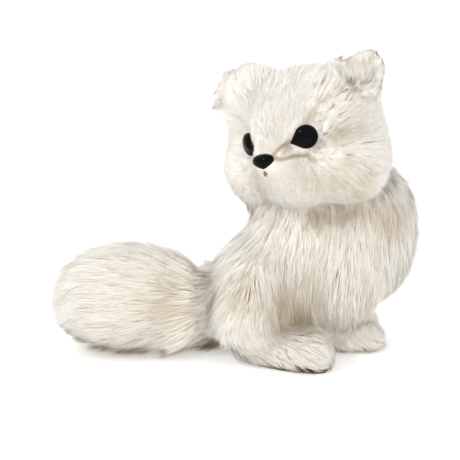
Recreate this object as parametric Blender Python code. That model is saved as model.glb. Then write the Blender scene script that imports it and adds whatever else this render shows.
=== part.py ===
"""A fur toy arctic fox that sits with its tail out behind it and looks back over its right shoulder.

The fox faces +X, its left side is +Y, and it sits on the plane z = 0. All sizes are in metres and go
out to the tips of the coat. The soft form is one skin drawn over simple masses, parted into named
pieces by thin cuts. The eyes, the nose, the mouth stitch, the soles and the seat plate are pieces of
their own, set into that form.
"""

from math import radians

import bmesh
import bpy
from mathutils import Euler, Matrix, Vector

SIDES = {"left": 1, "right": -1}
GAP = 0.0003  # every cut and every seat leaves this much air

# Head. Its own frame looks along +X, with the head's left at +Y and the origin at its middle.
HEAD_CENTRE = Vector((0.0065, -0.005, 0.137))
HEAD_TURN = radians(-135)  # about +Z, from looking straight ahead
HEAD_TILT = radians(15)  # the left ear is the higher one
HEAD_WIDTH = 0.106
CROWN = {"left": 0.014, "right": 0.020}  # the fur stands higher over the lower temple
CHEEK_FLUFF = {"left": 0, "right": 0.0018}
SNOUT = [  # stations from the face to the nose: where, radius
    ((0.018, 0, -0.0040), 0.0200),
    ((0.031, 0, -0.0080), 0.0135),
    ((0.038, 0, -0.0095), 0.0092),
]
EAR_SPREAD = {"left": 0.049, "right": 0.050}
EAR_HEIGHT = {"left": 0.029, "right": 0.033}
EAR_BACK = -0.003
EAR_LEAF = (0.007, 0.014, 0.018)
EAR_DROOP = {"left": 42, "right": 80}  # degrees outward from upright
EAR_FACING = 10  # degrees outward from straight ahead
EYE_SPREAD = 0.0213
EYE_AHEAD = 0.0260
EYE_UP = 0.0016
EYE_ASPLAY = 44  # degrees that each eye looks outward
EYE = 0.0073  # radius of the bead where it is widest
EYE_BULGE = 0.0048  # how far it stands out
EYE_CORNER = 0.0107  # from the bead's middle to the point of the tear duct
EYE_CORNER_DROP = 0.0030
NOSE_AT = Vector((0.0435, 0, -0.0076))
NOSE = Vector((0.0050, 0.0078, 0.0048))  # half sizes
MOUTH_BELOW_NOSE = Vector((0.0008, 0.0002, -0.0072))
MOUTH = (0.0016, 0.0010, 0.0019)

# Body
TORSO_WIDTH = 0.078
BREAST_AT = Vector((0.045, 0.002, 0.0765))
NECK_JOINT = Vector((0.008, -0.005, 0.105))
NECK_TIP = (17, -7, 0)  # how the joint's plane leans, in degrees
THIGH_AT = Vector((-0.027, 0.026, 0.033))
LEG_SPREAD = 0.014  # each foreleg's distance from the middle plane
LEG_AHEAD = {"left": 0.038, "right": 0.036}  # the left foreleg stands a little in front
LEG_TOP = 0.044
PAW_TOP = 0.019
HEEL_AT = Vector((-0.026, 0.027, 0.011))
TOE_AT = Vector((0.006, 0.043, 0.011))
SOLE = 0.0012  # thickness of the leather under each paw
SOLE_INSET = 0.0025  # the fur hangs over the sole's edge by this much
SEAT = Vector((0.013, 0.011))  # half sizes of the felt plate under the seat

# Tail. Stations run from root to tip: distance along, height of the middle, radius.
TAIL_SWING = radians(-8)  # the tail drifts to the fox's left
TAIL_SHIFT = -0.009
TAIL = [
    (-0.034, 0.0185, 0.018),
    (-0.050, 0.0218, 0.0215),
    (-0.065, 0.0290, 0.0290),
    (-0.080, 0.034, 0.0340),
    (-0.097, 0.0355, 0.0355),
    (-0.112, 0.0355, 0.0340),
    (-0.123, 0.0350, 0.0265),
]

# Cuts that part the form into its pieces: sizes of boxes, half sizes of ellipsoids
HEAD_BLOCK = (0.200, 0.200, 0.120)
NECK_CUT = (0.046, 0.042, 0.022)
NECK_CUT_AT = (0.014, 0.006, 0)  # from the neck joint
EAR_CUT = (0.014, 0.019, 0.020)
EAR_CUP = (0.0062, 0.0085, 0.0125)
EAR_CUP_AHEAD = 0.0075  # of the ear's middle
MUZZLE_CUT = (0.0170, 0.0165, 0.0150)
MUZZLE_CUT_AT = (0.040, 0, -0.0115)
THIGH_CUT = (0.029, 0.022, 0.038)
THIGH_CUT_OFFSET = Vector((0, 0.004, 0.002))  # outward and up from the thigh's middle
HIND_PAW_BLOCK = (0.066, 0.033, 0.037)
HIND_PAW_OFFSET = Vector((0.0020, 0.0012, -0.0035))  # along, outward and up from the paw's middle
FORELEG_BLOCK = (0.056, 0.050, 0.060)
FORELEG_AHEAD = 0.008  # the block's middle, in front of the leg's
FOREPAW_BLOCK = (0.080, 0.080, 0.040)
TAIL_CUT = (0.060, 0.050, 0.056)
TAIL_CUT_AT = (-0.108, TAIL_SHIFT, 0.036)
BELOW = 0.010  # how far a sole's cut reaches under the floor

# Fineness
BEAD_FINENESS = 3
PLATE_SIDES = 20
FORM_VOXEL = 0.0022
FORM_SMOOTHING = 5
FORM_TRIANGLES = 3380
CREASE_ANGLE = radians(38)


def clear_scene():
    for thing in list(bpy.data.objects):
        bpy.data.objects.remove(thing)


def material(name, colour, roughness):
    made = bpy.data.materials.new(name)
    made.use_nodes = True
    shader = made.node_tree.nodes["Principled BSDF"]
    shader.inputs["Base Color"].default_value = (*colour, 1)
    shader.inputs["Roughness"].default_value = roughness
    shader.inputs["Metallic"].default_value = 0.0
    made.diffuse_color = (*colour, 1)
    return made


def turned(degrees):
    return Euler([radians(a) for a in degrees]).to_matrix().to_4x4()


def placed(bm, name, finish=None):
    """The bmesh as an object of its own."""
    mesh = bpy.data.meshes.new(name)
    bm.to_mesh(mesh)
    bm.free()
    if finish:
        mesh.materials.append(finish)
    thing = bpy.data.objects.new(name, mesh)
    bpy.context.scene.collection.objects.link(thing)
    return thing


# ---------------------------------------------------------------- masses


def add_ball(form, centre, radii, frame=Matrix(), turn=(0, 0, 0), fineness=4):
    """One ellipsoid of the form, turned in degrees about its own centre."""
    where = frame @ Matrix.Translation(centre) @ turned(turn) @ Matrix.Diagonal((*radii, 1))
    return bmesh.ops.create_icosphere(form, subdivisions=fineness, radius=1, matrix=where)["verts"]


def add_limb(form, stations, frame=Matrix(), flatness=1.0):
    """A tapered limb: balls set close together along straight runs between (centre, radius) stations."""
    for (start, r_start), (end, r_end) in zip(stations, stations[1:]):
        start, end = Vector(start), Vector(end)
        steps = max(2, round((end - start).length / (0.22 * min(r_start, r_end))))
        for i in range(steps + 1):
            t = i / steps
            r = r_start + (r_end - r_start) * t
            add_ball(form, start.lerp(end, t), (r, r * flatness, r), frame, fineness=3)


def head_frame():
    return Matrix.Translation(HEAD_CENTRE) @ Euler((HEAD_TILT, 0, HEAD_TURN)).to_matrix().to_4x4()


def add_head(form, frame):
    half = HEAD_WIDTH / 2
    add_ball(form, (-0.008, 0, 0.005), (0.037, half - 0.007, 0.037), frame)  # cranium
    add_ball(form, (-0.014, 0, -0.004), (0.031, 0.042, 0.036), frame)  # nape
    add_ball(form, (0.005, 0, 0.000), (0.031, 0.031, 0.031), frame)  # face
    add_ball(form, (0.008, 0, -0.019), (0.028, 0.030, 0.024), frame)  # chin
    for name, side in SIDES.items():
        out, crown = half + CHEEK_FLUFF[name], CROWN[name]
        add_ball(form, (-0.004, side * (half - 0.023), crown), (0.026, 0.023, 0.0275), frame)  # temple
        add_ball(form, (-0.004, side * (out - 0.022), -0.002), (0.027, 0.022, 0.022), frame)  # side
        add_ball(form, (0.000, side * (out - 0.025), -0.016), (0.032, 0.027, 0.028), frame)  # cheek
    add_limb(form, SNOUT, frame)


def ear_middle(name):
    return Vector((EAR_BACK, SIDES[name] * EAR_SPREAD[name], EAR_HEIGHT[name]))


def ear_lean(name):
    return (-SIDES[name] * EAR_DROOP[name], 0, SIDES[name] * EAR_FACING)


def add_ears(form, frame):
    for name, side in SIDES.items():
        root = ear_middle(name) + Vector((-0.001, -side * 0.008, -0.006))
        add_ball(form, root, (0.013, 0.016, 0.014), frame)
        add_ball(form, ear_middle(name), EAR_LEAF, frame, turn=ear_lean(name))


def add_trunk(form):
    add_ball(form, (-0.006, 0, 0.041), (0.046, TORSO_WIDTH / 2, 0.043))  # belly and rump
    add_ball(form, (0, 0, 0.012), (0.022, 0.020, 0.016))  # seat
    add_ball(form, (0.012, 0, 0.068), (0.042, 0.036, 0.036))  # back
    add_ball(form, BREAST_AT, (0.036, 0.036, 0.044))  # breast and throat
    add_ball(form, (0.050, 0, 0.063), (0.030, 0.028, 0.035))  # the breast's lower edge
    for side in SIDES.values():
        add_ball(form, (0.030, side * 0.020, 0.056), (0.027, 0.022, 0.036))  # shoulder
        thigh = (THIGH_AT.x, side * THIGH_AT.y, THIGH_AT.z)
        add_ball(form, thigh, (0.023, 0.020, 0.033))


def add_forelegs(form):
    for name, side in SIDES.items():
        x, y = LEG_AHEAD[name], side * LEG_SPREAD
        add_limb(form, [((x, y, 0.050), 0.015), ((x + 0.001, y, 0.012), 0.0120)])
        add_ball(form, (x + 0.008, y, 0.008), (0.015, 0.012, 0.011))
        add_ball(form, (x - 0.004, y, 0.009), (0.014, 0.012, 0.012))


def add_hind_paws(form):
    for side in SIDES.values():
        heel, toe = HEEL_AT.copy(), TOE_AT.copy()
        heel.y *= side
        toe.y *= side
        add_limb(form, [(heel, 0.013), (toe, 0.0145)])


def add_tail(form, frame):
    add_limb(form, [((x, TAIL_SHIFT, z), r) for x, z, r in TAIL], frame, flatness=0.94)


def soft_form(finish):
    """All masses drawn together under one skin, then smoothed, thinned out and trimmed flat below."""
    form = bmesh.new()
    add_head(form, head_frame())
    add_ears(form, head_frame())
    add_trunk(form)
    add_forelegs(form)
    add_hind_paws(form)
    add_tail(form, tail_frame())
    thing = placed(form, "trunk", finish)
    skin = thing.modifiers.new("one_skin", "REMESH")
    skin.mode = "VOXEL"
    skin.voxel_size = FORM_VOXEL
    soft = thing.modifiers.new("soften", "SMOOTH")
    soft.factor = 0.5
    soft.iterations = FORM_SMOOTHING
    bake_modifiers(thing)
    thin = thing.modifiers.new("thin_out", "DECIMATE")
    thin.ratio = FORM_TRIANGLES / (2 * len(thing.data.polygons))
    bake_modifiers(thing)
    ground = block((0.6, 0.6, 0.1), (0, 0, -0.05))
    trim(thing, ground)
    return thing


# ---------------------------------------------------------------- cuts


def bake_modifiers(thing):
    graph = bpy.context.evaluated_depsgraph_get()
    mesh = bpy.data.meshes.new_from_object(thing.evaluated_get(graph))
    thing.modifiers.clear()
    thing.data = mesh


def trim(thing, cutter, how="DIFFERENCE"):
    """Boolean of thing with a cutter, which is thrown away."""
    cut = thing.modifiers.new("cut", "BOOLEAN")
    cut.operation = how
    cut.object = cutter
    bake_modifiers(thing)
    bpy.data.objects.remove(cutter)


def block(size, centre, turn=(0, 0, 0), frame=Matrix(), grow=0.0):
    """A box to cut with. grow widens it on every side."""
    shape = bmesh.new()
    sides = [s + 2 * grow for s in size]
    where = frame @ Matrix.Translation(centre) @ turned(turn) @ Matrix.Diagonal((*sides, 1))
    bmesh.ops.create_cube(shape, size=1, matrix=where)
    return placed(shape, "block")


def lump(radii, centre, turn=(0, 0, 0), frame=Matrix(), grow=0.0):
    """An ellipsoid to cut with."""
    shape = bmesh.new()
    add_ball(shape, centre, [r + grow for r in radii], frame, turn, fineness=2)
    return placed(shape, "lump")


def disc(radii, bottom, top, frame=Matrix(), grow=0.0):
    """An upright elliptic plate between two heights."""
    shape = bmesh.new()
    stretch = Matrix.Diagonal((radii[0] + grow, radii[1] + grow, top - bottom + 2 * grow, 1))
    where = frame @ Matrix.Translation((0, 0, (top + bottom) / 2)) @ stretch
    bmesh.ops.create_cone(shape, cap_ends=True, segments=PLATE_SIDES, radius1=1, radius2=1, depth=1, matrix=where)
    return placed(shape, "disc")


def carve(body, name, shape, *sizes, **where):
    """Parts what lies inside a cutter from body as a piece of its own, with the gap between the two."""
    piece = bpy.data.objects.new(name, body.data.copy())
    bpy.context.scene.collection.objects.link(piece)
    trim(piece, shape(*sizes, **where), "INTERSECT")
    trim(body, shape(*sizes, **where, grow=GAP))
    return piece


def set_into(bodies, shape, *sizes, **where):
    """Sinks a separate piece into bodies, each with a socket that leaves the gap."""
    for body in bodies:
        trim(body, shape(*sizes, **where, grow=GAP))
    return shape(*sizes, **where)


# ---------------------------------------------------------------- hard pieces


def bead(side, frame, grow=0.0):
    """An eye: a domed bead drawn out to a point at its inner corner."""
    shape = bmesh.new()
    look = Matrix.Translation((EYE_AHEAD, side * EYE_SPREAD, EYE_UP)) @ turned((0, 0, side * EYE_ASPLAY))
    dome = (EYE_BULGE + grow, EYE + grow, EYE + grow)
    add_ball(shape, (0, 0, 0), dome, frame @ look, fineness=BEAD_FINENESS)
    shape.verts.new(frame @ look @ Vector((0.0008, -side * (EYE_CORNER + grow), -EYE_CORNER_DROP)))
    bmesh.ops.delete(shape, geom=shape.edges, context="EDGES_FACES")
    hull = bmesh.ops.convex_hull(shape, input=shape.verts)
    inside = {v for v in hull["geom_interior"] if isinstance(v, bmesh.types.BMVert)}
    bmesh.ops.delete(shape, geom=list(inside), context="VERTS")
    bmesh.ops.recalc_face_normals(shape, faces=shape.faces)
    return placed(shape, "bead")


def button(frame, grow=0.0):
    """The nose: broad and round above, narrow below."""
    shape = bmesh.new()
    add_ball(shape, (0, 0, 0), [n + grow for n in NOSE], fineness=2)
    for vert in shape.verts:
        vert.co.y *= 0.92 + 0.16 * vert.co.z / NOSE.z
    bmesh.ops.transform(shape, matrix=frame @ Matrix.Translation(NOSE_AT), verts=shape.verts)
    return placed(shape, "button")


def stitch(frame, grow=0.0):
    """The mouth: one short upright thread under the nose."""
    shape = bmesh.new()
    add_ball(shape, NOSE_AT + MOUTH_BELOW_NOSE, [m + grow for m in MOUTH], frame, fineness=2)
    return placed(shape, "stitch")


# ---------------------------------------------------------------- parting the form


def tail_frame():
    return Matrix.Rotation(TAIL_SWING, 4, "Z")


def part_head(trunk):
    joint = Matrix.Translation(NECK_JOINT) @ turned(NECK_TIP)
    head = carve(trunk, "head", block, HEAD_BLOCK, (0, 0, HEAD_BLOCK[2] / 2), frame=joint)
    carve(trunk, "neck", lump, NECK_CUT, NECK_CUT_AT, frame=joint)
    return head


def part_face(head, frame, black, brown):
    for name, side in SIDES.items():
        leaf = ear_middle(name) + Vector((0, side * 0.002, 0.003))
        cup = ear_middle(name) + Vector((EAR_CUP_AHEAD, 0, 0.003))
        lean = ear_lean(name)
        ear = carve(head, f"ear_{name}", lump, EAR_CUT, leaf, turn=lean, frame=frame)
        trim(ear, lump(EAR_CUP, cup, turn=lean, frame=frame))
    muzzle = carve(head, "muzzle", lump, MUZZLE_CUT, MUZZLE_CUT_AT, frame=frame)
    for name, side in SIDES.items():
        finish_as(set_into([head, muzzle], bead, side, frame), f"eye_{name}", black)
    finish_as(set_into([muzzle], button, frame), "nose", black)
    finish_as(set_into([muzzle], stitch, frame), "mouth", brown)


def part_hind_legs(trunk, leather):
    for name, side in SIDES.items():
        heel, toe = HEEL_AT.copy(), TOE_AT.copy()
        heel.y *= side
        toe.y *= side
        way = (toe - heel).to_track_quat("X", "Z").to_matrix().to_4x4()
        along = Matrix.Translation((heel + toe) / 2) @ way
        middle = HIND_PAW_OFFSET.copy()
        middle.y *= side
        paw = carve(trunk, f"hindpaw_{name}", block, HIND_PAW_BLOCK, middle, frame=along)
        part_sole(paw, f"sole_hind_{name}", leather, way)
        thigh = THIGH_AT + THIGH_CUT_OFFSET
        thigh.y *= side
        carve(trunk, f"thigh_{name}", lump, THIGH_CUT, thigh)


def part_forelegs(trunk, leather):
    for name, side in SIDES.items():
        x = LEG_AHEAD[name] + FORELEG_AHEAD
        y = side * (FORELEG_BLOCK[1] + GAP) / 2
        upper, lower = LEG_TOP - FORELEG_BLOCK[2] / 2, PAW_TOP - FOREPAW_BLOCK[2] / 2
        leg = carve(trunk, f"foreleg_{name}", block, FORELEG_BLOCK, (x, y, upper))
        paw = carve(leg, f"forepaw_{name}", block, FOREPAW_BLOCK, (x, y, lower))
        part_sole(paw, f"sole_fore_{name}", leather)


def part_sole(paw, name, leather, turn=Matrix()):
    """The sole's outline is the paw's, measured along and across it, drawn in under the fur."""
    stands_on = [turn.inverted() @ v.co for v in paw.data.vertices if v.co.z < SOLE / 2]
    ends = [(min(p[axis] for p in stands_on), max(p[axis] for p in stands_on)) for axis in (0, 1)]
    middle = Vector([(low + high) / 2 for low, high in ends] + [0])
    radii = [(high - low) / 2 - SOLE_INSET for low, high in ends]
    frame = turn @ Matrix.Translation(middle)
    finish_as(carve(paw, name, disc, radii, -BELOW, SOLE, frame=frame), name, leather)


def part_tail(trunk):
    return carve(trunk, "tail", lump, TAIL_CUT, TAIL_CUT_AT, frame=tail_frame())


def finish_as(thing, name, finish):
    thing.name = name
    thing.data.materials.clear()
    thing.data.materials.append(finish)
    for face in thing.data.polygons:
        face.material_index = 0


def settle(thing):
    """Brings an object's origin to the middle of its own shape, which stays where it is."""
    middle = sum((Vector(corner) for corner in thing.bound_box), Vector()) / 8
    thing.data.transform(Matrix.Translation(-middle))
    thing.location = middle


def main():
    clear_scene()
    fur = material("white_fur", (0.86, 0.82, 0.75), 0.9)
    black = material("black_plastic", (0.01, 0.01, 0.01), 0.08)
    brown = material("brown_thread", (0.10, 0.05, 0.03), 0.8)
    leather = material("dark_leather", (0.03, 0.022, 0.018), 0.6)
    felt = material("white_felt", (0.75, 0.72, 0.66), 0.95)

    trunk = soft_form(fur)
    head = part_head(trunk)
    part_face(head, head_frame(), black, brown)
    part_hind_legs(trunk, leather)
    part_forelegs(trunk, leather)
    part_tail(trunk)
    finish_as(set_into([trunk], disc, SEAT, 0, SOLE), "seat_plate", felt)

    whole = bpy.data.objects.new("fox", None)
    bpy.context.scene.collection.objects.link(whole)
    for thing in [t for t in bpy.data.objects if t != whole]:
        if thing != trunk:
            settle(thing)
        thing.parent = whole
        thing.data.shade_smooth()
        thing.data.set_sharp_from_angle(angle=CREASE_ANGLE)


main()
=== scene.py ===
# %% [markdown]
# # A fur toy arctic fox
# The toy is a stuffed core under a pelt of long, soft white fur, with glossy plastic eyes and nose and
# leather soles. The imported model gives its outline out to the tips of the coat. This script puts one skin
# a coat's depth inside that outline, and grows the coat on it as solid tapered strands, gathered in locks.
# Everything is in metres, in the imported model's frame: +X towards the breast, +Y its left, +Z up.

# %% Load the frame
from math import radians

import bpy
import numpy as np
from mathutils import Euler, Matrix, Vector
from mathutils.bvhtree import BVHTree
from mathutils.kdtree import KDTree


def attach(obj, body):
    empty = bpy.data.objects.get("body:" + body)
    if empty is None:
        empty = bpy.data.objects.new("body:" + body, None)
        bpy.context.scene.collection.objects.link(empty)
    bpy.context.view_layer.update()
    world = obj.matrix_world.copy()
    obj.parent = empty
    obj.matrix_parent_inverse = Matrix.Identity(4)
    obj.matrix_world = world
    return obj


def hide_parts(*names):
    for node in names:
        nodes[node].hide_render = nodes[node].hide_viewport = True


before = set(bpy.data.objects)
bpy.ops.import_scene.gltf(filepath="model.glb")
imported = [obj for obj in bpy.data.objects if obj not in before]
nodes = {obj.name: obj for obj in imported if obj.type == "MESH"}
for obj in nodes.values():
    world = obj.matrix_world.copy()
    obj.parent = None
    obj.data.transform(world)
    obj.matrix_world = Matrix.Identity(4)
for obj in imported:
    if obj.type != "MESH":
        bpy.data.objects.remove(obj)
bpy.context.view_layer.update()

print("frame:", len(nodes), "nodes")

# %% [markdown]
# ## Where things are
# The head has a frame of its own: it looks along its +X, with its left at +Y. The body faces +X, and the
# tail drifts a little to the left. The coat's lie is worked out from these few places and directions.

# %% The fox's own places and directions
MM = 0.001
SIDES = {"left": 1, "right": -1}
HEAD_TURN = Euler((radians(15), 0, radians(-135)))
HEAD = Matrix.Translation((0.0065, -0.005, 0.137)) @ HEAD_TURN.to_matrix().to_4x4()
NOSE = Vector((43.5, 0, -7.6)) * MM  # the middle of the nose, in the head's frame
MOUTH = Vector((44.3, 0.2, -14.8)) * MM
NOSE_TIP = np.array(HEAD @ (Vector((47, 0, -7)) * MM))
TOES = [(-0.6, -52.0, 1.9), (4.6, -54.3, 2.2)]  # pads under the right hind paw, in mm
EYE_AT = {name: Vector((26.0, side * 21.3, 1.6)) * MM for name, side in SIDES.items()}
EYE_LOOK = {
    name: HEAD @ Matrix.Translation(EYE_AT[name]) @ Matrix.Rotation(radians(44 * side), 4, "Z")
    for name, side in SIDES.items()
}
EAR_ROOT = {name: Vector((-4, side * 38, 17)) * MM for name, side in SIDES.items()}
EAR_CUP = {"left": Vector((0, 47, 23)), "right": Vector((0, -50, 30))}  # the ear's hollow, in mm
EAR_TIP = {"left": Vector((-1, 56, 40)) * MM, "right": Vector((-1, -62, 31)) * MM}
TAIL_WAY = np.array(Matrix.Rotation(radians(-8), 3, "Z") @ Vector((-1, 0, 0.04)))
print("the nose is at", [round(c, 3) for c in NOSE_TIP])

# %% [markdown]
# Much of the work is done on whole arrays of points at once, so two short functions move an array from
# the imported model's frame to a turned one, such as the head's or an eye's, and back.

# %% From one frame to another


def in_frame(points, place):
    """Points of the row frame, as a frame placed by that matrix sees them."""
    back = np.array(place.inverted())
    return points @ back[:3, :3].T + back[:3, 3]


def out_of_frame(ways, place):
    """Directions in a placed frame, as the row frame sees them."""
    return ways @ np.array(place)[:3, :3].T


print("the head's middle in its own frame:", in_frame(np.array([HEAD.translation]), HEAD).round(3)[0])

# %% [markdown]
# ## Camera
# A long lens a little over a metre away, slightly above, on the fox's right side. The lens is worked out
# from the width that the view takes in where the fox stands, so that moving the camera keeps its size.

# %% Camera
CAMERA_TURN, CAMERA_DOWN = radians(-8), radians(17)
CAMERA_FAR, VIEW_WIDTH = 1.100, 0.2852
swing = Matrix.Rotation(CAMERA_TURN, 3, "Z")
aim = Vector((-0.0372, 0, 0.07525))
sight = Vector((0, np.cos(CAMERA_DOWN), -np.sin(CAMERA_DOWN)))
bpy.ops.object.camera_add()
camera = bpy.context.object
camera.location = swing @ (aim - CAMERA_FAR * sight)
camera.rotation_euler = (swing @ sight).to_track_quat("-Z", "Y").to_euler()
camera.data.lens = camera.data.sensor_width * CAMERA_FAR / VIEW_WIDTH
camera.data.clip_start = 0.01
bpy.context.scene.camera = camera
print("lens:", round(camera.data.lens, 1), "mm")

# %% [markdown]
# ## Colours and nodes
# Colours are written as sRGB hex, as a paint chart gives them, and turned to linear light for the shader.
# One helper adds a shader node with its settings and links. A pattern's scale is a count for each metre,
# so it is worked out from the real size of one grain or thread in millimetres.

# %% Helpers for materials


def per_metre(size_mm):
    return 1000 / size_mm


def linear(hexa):
    parts = [int(hexa[i : i + 2], 16) / 255 for i in (1, 3, 5)]
    return [c / 12.92 if c <= 0.04045 else ((c + 0.055) / 1.055) ** 2.4 for c in parts] + [1.0]


def add_node(tree, kind, settings=None, **links):
    """Adds a node. settings holds its properties, links its inputs: a value, or another node's output."""
    node = tree.nodes.new("ShaderNode" + kind)
    for name, value in (settings or {}).items():
        setattr(node, name, value)
    for name, value in links.items():
        socket = node.inputs[name.replace("_", " ")]
        if isinstance(value, bpy.types.NodeSocket):
            tree.links.new(value, socket)
        else:
            socket.default_value = value
    return node


def new_material(name, **constants):
    made = bpy.data.materials.new(name)
    made.use_nodes = True
    shader = made.node_tree.nodes["Principled BSDF"]
    for key, value in constants.items():
        shader.inputs[key.replace("_", " ")].default_value = value
    return made, made.node_tree, shader


def wear(piece, made):
    piece.data.materials.clear()
    piece.data.materials.append(made)


print("a grain of 1 mm has a scale of", per_metre(1))

# %% [markdown]
# ## Room
# The toy stands on a light table: a sheet of white acrylic, matt, that glows a little from below. That
# keeps the ground nearly white, and leaves only a short soft shadow where the fur touches it. The sheet
# lies a hair's breadth under the soles and runs on past the view.

# %% Floor
FLOOR_GAP = 0.2 * MM
FLOOR_GLOW = 0.42
bpy.ops.mesh.primitive_plane_add(size=6, location=(0, 0, -FLOOR_GAP))
floor = bpy.context.object
floor.name = "floor"
acrylic, tree, shader = new_material("white_acrylic_light_table", Roughness=0.9, Specular_IOR_Level=0.1)
shader.inputs["Base Color"].default_value = linear("#D9D8D8")
shader.inputs["Emission Color"].default_value = (1, 1, 1, 1)
shader.inputs["Emission Strength"].default_value = FLOOR_GLOW
wear(floor, acrylic)
print("floor laid")

# %% [markdown]
# White fur needs light from all round, or the gaps between its locks go black. An even white sky does
# most of it. Large lamps fill the front and the sides, and one from behind lifts the outline. Only the
# small key lamp is mirrored in the eyes and nose, so each shows one clean highlight.

# %% Sky and lamps
LAMPS = {  # name: place, size in metres, watts, mirrored in the eyes
    "key": ((-0.97, -0.58, 1.10), 0.20, 4.6, True),
    "front": ((-0.15, -1.5, 0.10), 1.8, 12.8, False),
    "left": ((-1.2, -0.8, 0.05), 1.2, 5.2, False),
    "right": ((1.0, -1.0, 0.3), 1.2, 3, False),
    "back": ((-0.4, 1.0, 1.2), 0.9, 6.2, False),
}
LIT_PLACE = Vector((0, 0, 0.08))  # the lamps point at the middle of the breast

world = bpy.data.worlds.new("studio")
bpy.context.scene.world = world
world.use_nodes = True
world.node_tree.nodes["Background"].inputs["Color"].default_value = (1, 1, 1, 1)
world.node_tree.nodes["Background"].inputs["Strength"].default_value = 1.0


for name, (place, size, watts, mirrored) in LAMPS.items():
    bpy.ops.object.light_add(type="AREA", location=place)
    lamp = bpy.context.object
    lamp.name = name
    lamp.data.size = size
    lamp.data.energy = watts
    lamp.visible_glossy = mirrored
    lamp.rotation_euler = (LIT_PLACE - Vector(place)).to_track_quat("-Z", "Y").to_euler()
bpy.context.scene.view_settings.view_transform = "Standard"
print(len(LAMPS), "lamps")

# %% [markdown]
# ## Skin
# On the toy the pelt is one piece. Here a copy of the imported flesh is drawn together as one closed
# surface. The pieces are swollen by a hair's breadth, which closes the thin cuts between them, and a
# voxel remesh makes one surface of them all. The eyes, nose and mouth go in too, so that they leave no
# holes behind them.

# %% Draw the flesh together
FLESH_PARTS = ("head", "muzzle", "ear", "neck", "trunk", "thigh", "hindpaw", "fore", "tail")
FLESH = [name for name in nodes if name.startswith(FLESH_PARTS)]
HARD = ["eye_left", "eye_right", "nose", "mouth"]
SKIN_VOXEL = 1.2 * MM
JOIN_SWELL = 0.25 * MM


def apply_modifier(piece, kind, **settings):
    bpy.context.view_layer.objects.active = piece
    modifier = piece.modifiers.new(kind.lower(), kind)
    for key, value in settings.items():
        setattr(modifier, key, value)
    bpy.ops.object.modifier_apply(modifier=modifier.name)


bpy.ops.object.select_all(action="DESELECT")
for name in FLESH + HARD:
    bpy.context.view_layer.objects.active = nodes[name]
    nodes[name].select_set(True)
bpy.ops.object.duplicate()
for copy in bpy.context.selected_objects:
    copy.parent = None
bpy.context.view_layer.objects.active = bpy.context.selected_objects[0]
bpy.ops.object.join()
skin = bpy.context.object
skin.name = "skin"
skin.data.materials.clear()
bpy.ops.object.mode_set(mode="EDIT")
bpy.ops.mesh.select_all(action="SELECT")
bpy.ops.mesh.remove_doubles(threshold=0.01 * MM)
bpy.ops.object.mode_set(mode="OBJECT")
apply_modifier(skin, "DISPLACE", strength=JOIN_SWELL, mid_level=0)
apply_modifier(skin, "REMESH", mode="VOXEL", voxel_size=SKIN_VOXEL)
apply_modifier(skin, "SMOOTH", factor=0.5, iterations=8)
print("outline drawn together:", len(skin.data.vertices), "points")

# %% [markdown]
# The next steps all work on the surface's points as arrays. A point's value can be shared with its
# neighbours a number of times, which blurs it over the surface, and smoothstep makes a soft switch that
# goes from 0 to 1 between two limits.

# %% Helpers for points


def read(collection, attribute, width, kind=np.float32):
    """A mesh's values as an array with that many columns."""
    values = np.empty(len(collection) * width, kind)
    collection.foreach_get(attribute, values)
    return values.reshape(-1, width).astype(float if kind is np.float32 else int)


def averaged(values, ends, rounds):
    """Each point's value, or vector, shared with its neighbours a number of times."""
    values = np.array(values, float).reshape(len(values), -1)
    count = 1 + np.bincount(ends.ravel(), minlength=len(values))[:, None]
    for _ in range(rounds):
        total = values.copy()
        for column in range(values.shape[1]):
            total[:, column] += np.bincount(ends[:, 0], values[ends[:, 1], column], len(values))
            total[:, column] += np.bincount(ends[:, 1], values[ends[:, 0], column], len(values))
        values = total / count
    return values


def smoothstep(value, low, high):
    t = np.clip((value - low) / (high - low), 0, 1)
    return t * t * (3 - 2 * t)


def apart(points, place):
    return np.linalg.norm(points - np.array(place), axis=1)


def unit(vectors):
    return vectors / np.maximum(np.linalg.norm(vectors, axis=-1, keepdims=True), 1e-9)


def place_points(piece, points):
    piece.data.vertices.foreach_set("co", points.astype(np.float32).ravel())
    piece.data.update()


print("halfway through a smoothstep:", smoothstep(0.5, 0, 1))

# %% [markdown]
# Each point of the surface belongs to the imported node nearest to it. That gives the coat's depth, length
# and so on there, in millimetres: short and fine on the muzzle and paws, long and deep on the tail.

# %% Regions
COAT_TABLE = {  # region: depth, length and strand width in mm, how closely it hugs the skin
    "muzzle": (1.6, 4.5, 0.26, 0.9),
    "head": (5.0, 12.5, 0.33, 0.75),
    "ear": (3.0, 8.0, 0.30, 0.55),
    "neck": (8.0, 21.0, 0.42, 0.8),
    "trunk": (7.5, 23.0, 0.42, 0.8),
    "thigh": (6.5, 19.0, 0.40, 0.8),
    "tail": (11.0, 24.0, 0.44, 0.8),
    "foreleg": (4.8, 18.0, 0.36, 0.55),
    "forepaw": (3.0, 9.5, 0.30, 0.6),
    "hindpaw": (3.4, 9.5, 0.32, 0.65),
}
REGIONS = list(COAT_TABLE)


def region_of(name):
    return next(i for i, region in enumerate(REGIONS) if name.startswith(region))


flesh_points, flesh_faces, flesh_regions = [], [], []
for name in FLESH:
    base = len(flesh_points)
    flesh_points += [v.co.copy() for v in nodes[name].data.vertices]
    faces = [[base + i for i in p.vertices] for p in nodes[name].data.polygons]
    flesh_faces += faces
    flesh_regions += [region_of(name)] * len(faces)
flesh_tree = BVHTree.FromPolygons(flesh_points, flesh_faces)


def regions_at(points):
    return np.array([flesh_regions[flesh_tree.find_nearest(p)[2]] for p in points])


print(len(REGIONS), "regions")

# %% [markdown]
# ## The eye's outline
# The eyes are teardrops: a round bead drawn out to a point at the tear duct. One function gives the edge
# of that shape, from which the bead, its seat in the skin and the short hair round it are all made.

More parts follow.
